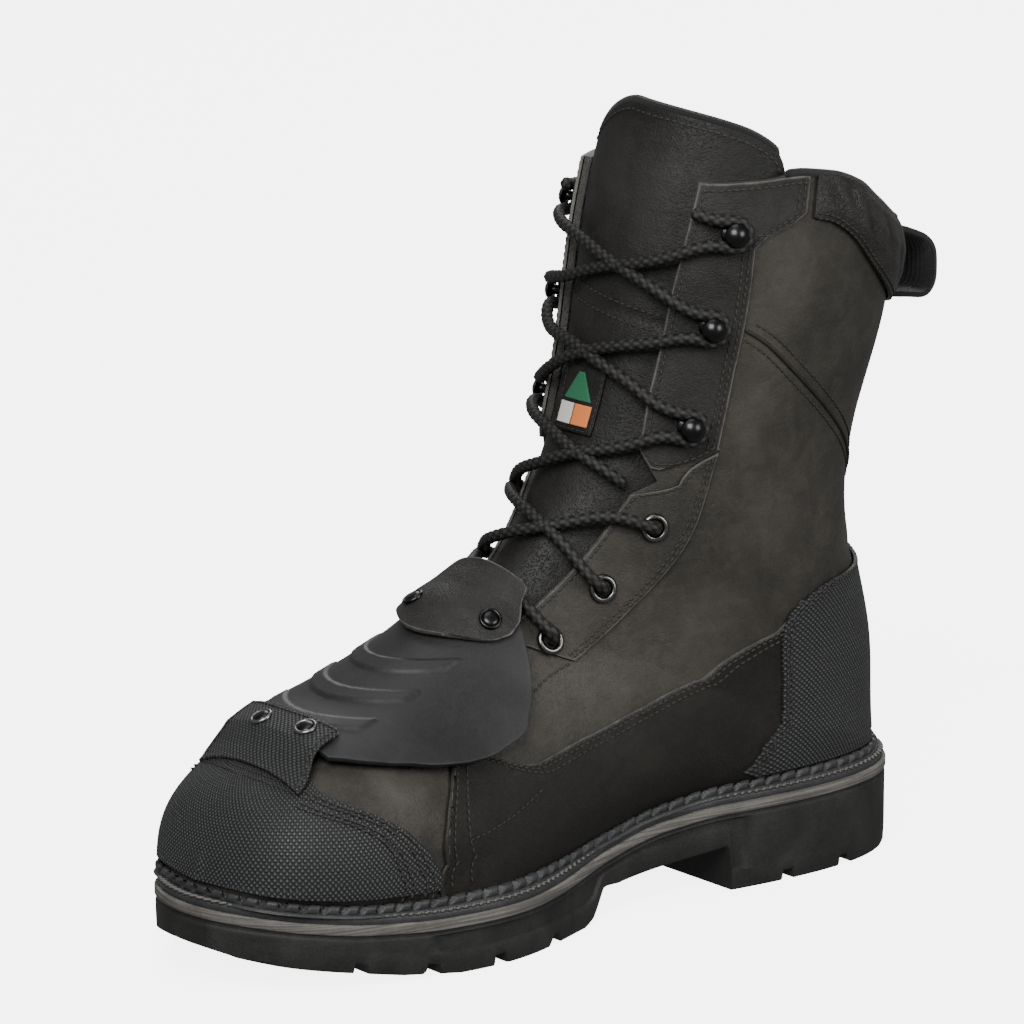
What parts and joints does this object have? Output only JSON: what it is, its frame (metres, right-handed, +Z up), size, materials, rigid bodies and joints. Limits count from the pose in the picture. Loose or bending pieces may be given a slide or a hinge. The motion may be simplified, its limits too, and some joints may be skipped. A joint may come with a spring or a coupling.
{
  "type": "metatarsal guard boot",
  "caption": "Lace-up leather work boot for the right foot, with a hinged metatarsal guard over the instep, woven toe cap and counter, and a lugged welted sole.",
  "frame": {"origin": "middle of the heel's floor face", "axes": "+X toward the toe, +Y toward the boot's medial side, +Z up from the floor"},
  "size_m": [0.3338, 0.1118, 0.2831],
  "materials": {
    "leather": "worn nubuck",
    "facing_leather": "satin",
    "pad_leather": "soft satin",
    "weave": "rubberised ballistic weave",
    "outsole_rubber": "matt",
    "midsole_rubber": "matt",
    "welt_rubber": "satin",
    "guard_polymer": "satin",
    "webbing": "ribbed webbing",
    "cord": "braided",
    "gunmetal": "dark gunmetal",
    "nickel": "dark nickel",
    "insole_board": "felted",
    "label": "woven"
  },
  "bodies": {
    "root": {"outsole": "outsole_rubber", "midsole": "midsole_rubber", "storm_welt": "welt_rubber", "insole": "insole_board", "upper": "leather", "toe_cap": "weave", "heel_counter": "weave", "hook_facing_medial": "facing_leather", "hook_facing_lateral": "facing_leather", "eyestay_medial": "leather", "eyestay_lateral": "leather", "collar_pad": "pad_leather", "tongue": "facing_leather", "tongue_label": "label", "guard_plate": "guard_polymer", "top_flap": "leather", "toe_flap": "weave", "pull_loop": "webbing", "lace": "cord", "guard_rivet_medial": "gunmetal", "guard_rivet_lateral": "gunmetal", "toe_rivet_medial": "gunmetal", "toe_rivet_lateral": "gunmetal", "hook_top_medial": "gunmetal", "hook_top_lateral": "gunmetal", "hook_middle_medial": "gunmetal", "hook_middle_lateral": "gunmetal", "hook_low_medial": "gunmetal", "hook_low_lateral": "gunmetal", "eyelet_ankle_medial": "nickel", "eyelet_ankle_lateral": "nickel", "eyelet_instep_medial": "nickel", "eyelet_instep_lateral": "nickel", "eyelet_lower_medial": "nickel", "eyelet_lower_lateral": "nickel"}
  },
  "joints": []
}
